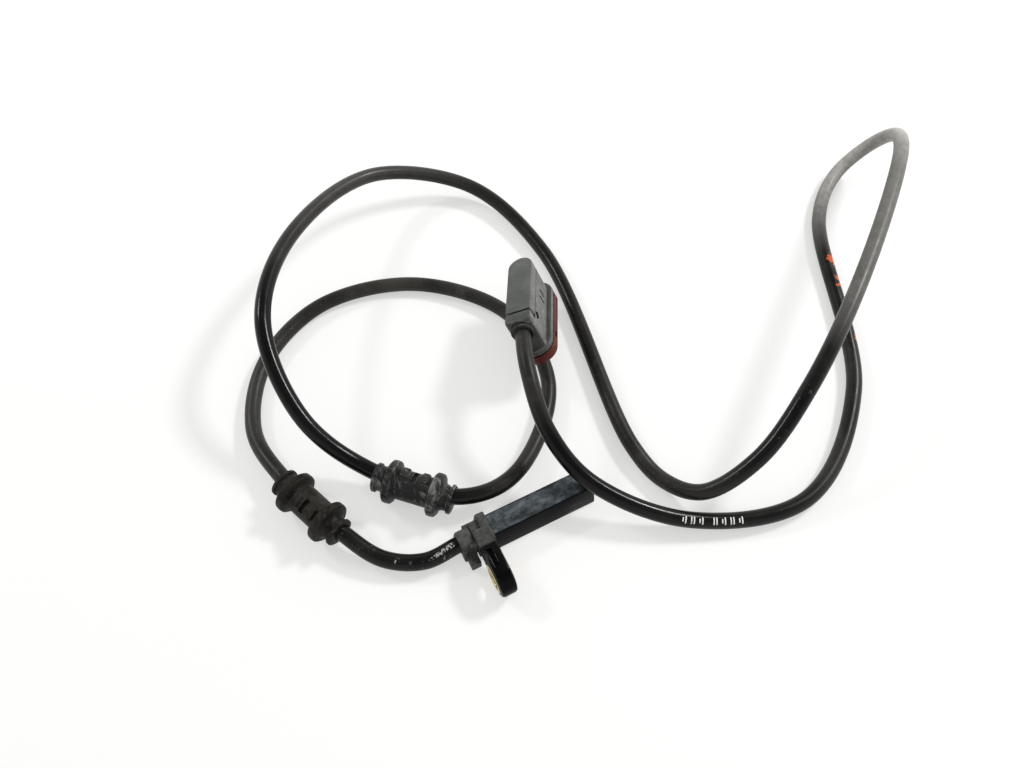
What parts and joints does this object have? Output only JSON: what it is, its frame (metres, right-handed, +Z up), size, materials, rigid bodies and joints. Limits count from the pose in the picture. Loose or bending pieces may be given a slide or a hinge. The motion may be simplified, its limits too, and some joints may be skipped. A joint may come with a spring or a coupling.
{
  "type": "wheel speed sensor",
  "caption": "Wheel speed sensor with a bolted side lug, a free cable with rubber grommets, and a two-pin right-angle connector.",
  "frame": {"origin": "under the middle of the sensor head, lug included, on the surface that the part lies on", "axes": "+X from the cable end of the head to its sensing nose, +Y to the left of the head, away from the lug, +Z up"},
  "size_m": [0.2649, 0.1845, 0.0392],
  "materials": {
    "head_plastic": "satin black glass-filled nylon",
    "neck_plastic": "rough black overmould, dusty",
    "bush_steel": "zinc plated steel, passivated",
    "cable_jacket": "glossy black polyurethane jacket",
    "grommet_rubber": "dusty black rubber",
    "plug_plastic": "dark grey nylon",
    "collar_plastic": "red-brown nylon",
    "seal_rubber": "black silicone",
    "inner_plastic": "natural nylon",
    "chip_resin": "black moulding resin",
    "magnet": "sintered magnet, nickel plated",
    "tinned_metal": "tin plated copper alloy",
    "wire": "insulated stranded wire"
  },
  "bodies": {
    "root": {"sensor_housing": "head_plastic", "rear_overmould": "neck_plastic", "mounting_bush": "bush_steel", "cable_jacket": "cable_jacket", "inner_grommet": "grommet_rubber", "outer_grommet": "grommet_rubber", "connector_housing": "plug_plastic", "connector_cover": "plug_plastic", "coding_collar": "collar_plastic", "cable_seal": "seal_rubber", "interface_seal": "seal_rubber", "element_carrier": "inner_plastic", "terminal_lock": "inner_plastic", "sensor_chip": "chip_resin", "bias_magnet": "magnet", "chip_lead_a": "tinned_metal", "chip_lead_b": "tinned_metal", "crimp_sleeve_a": "tinned_metal", "crimp_sleeve_b": "tinned_metal", "terminal_a": "tinned_metal", "terminal_b": "tinned_metal", "head_core_a": "wire", "head_core_b": "wire", "plug_core_a": "wire", "plug_core_b": "wire"}
  },
  "joints": []
}
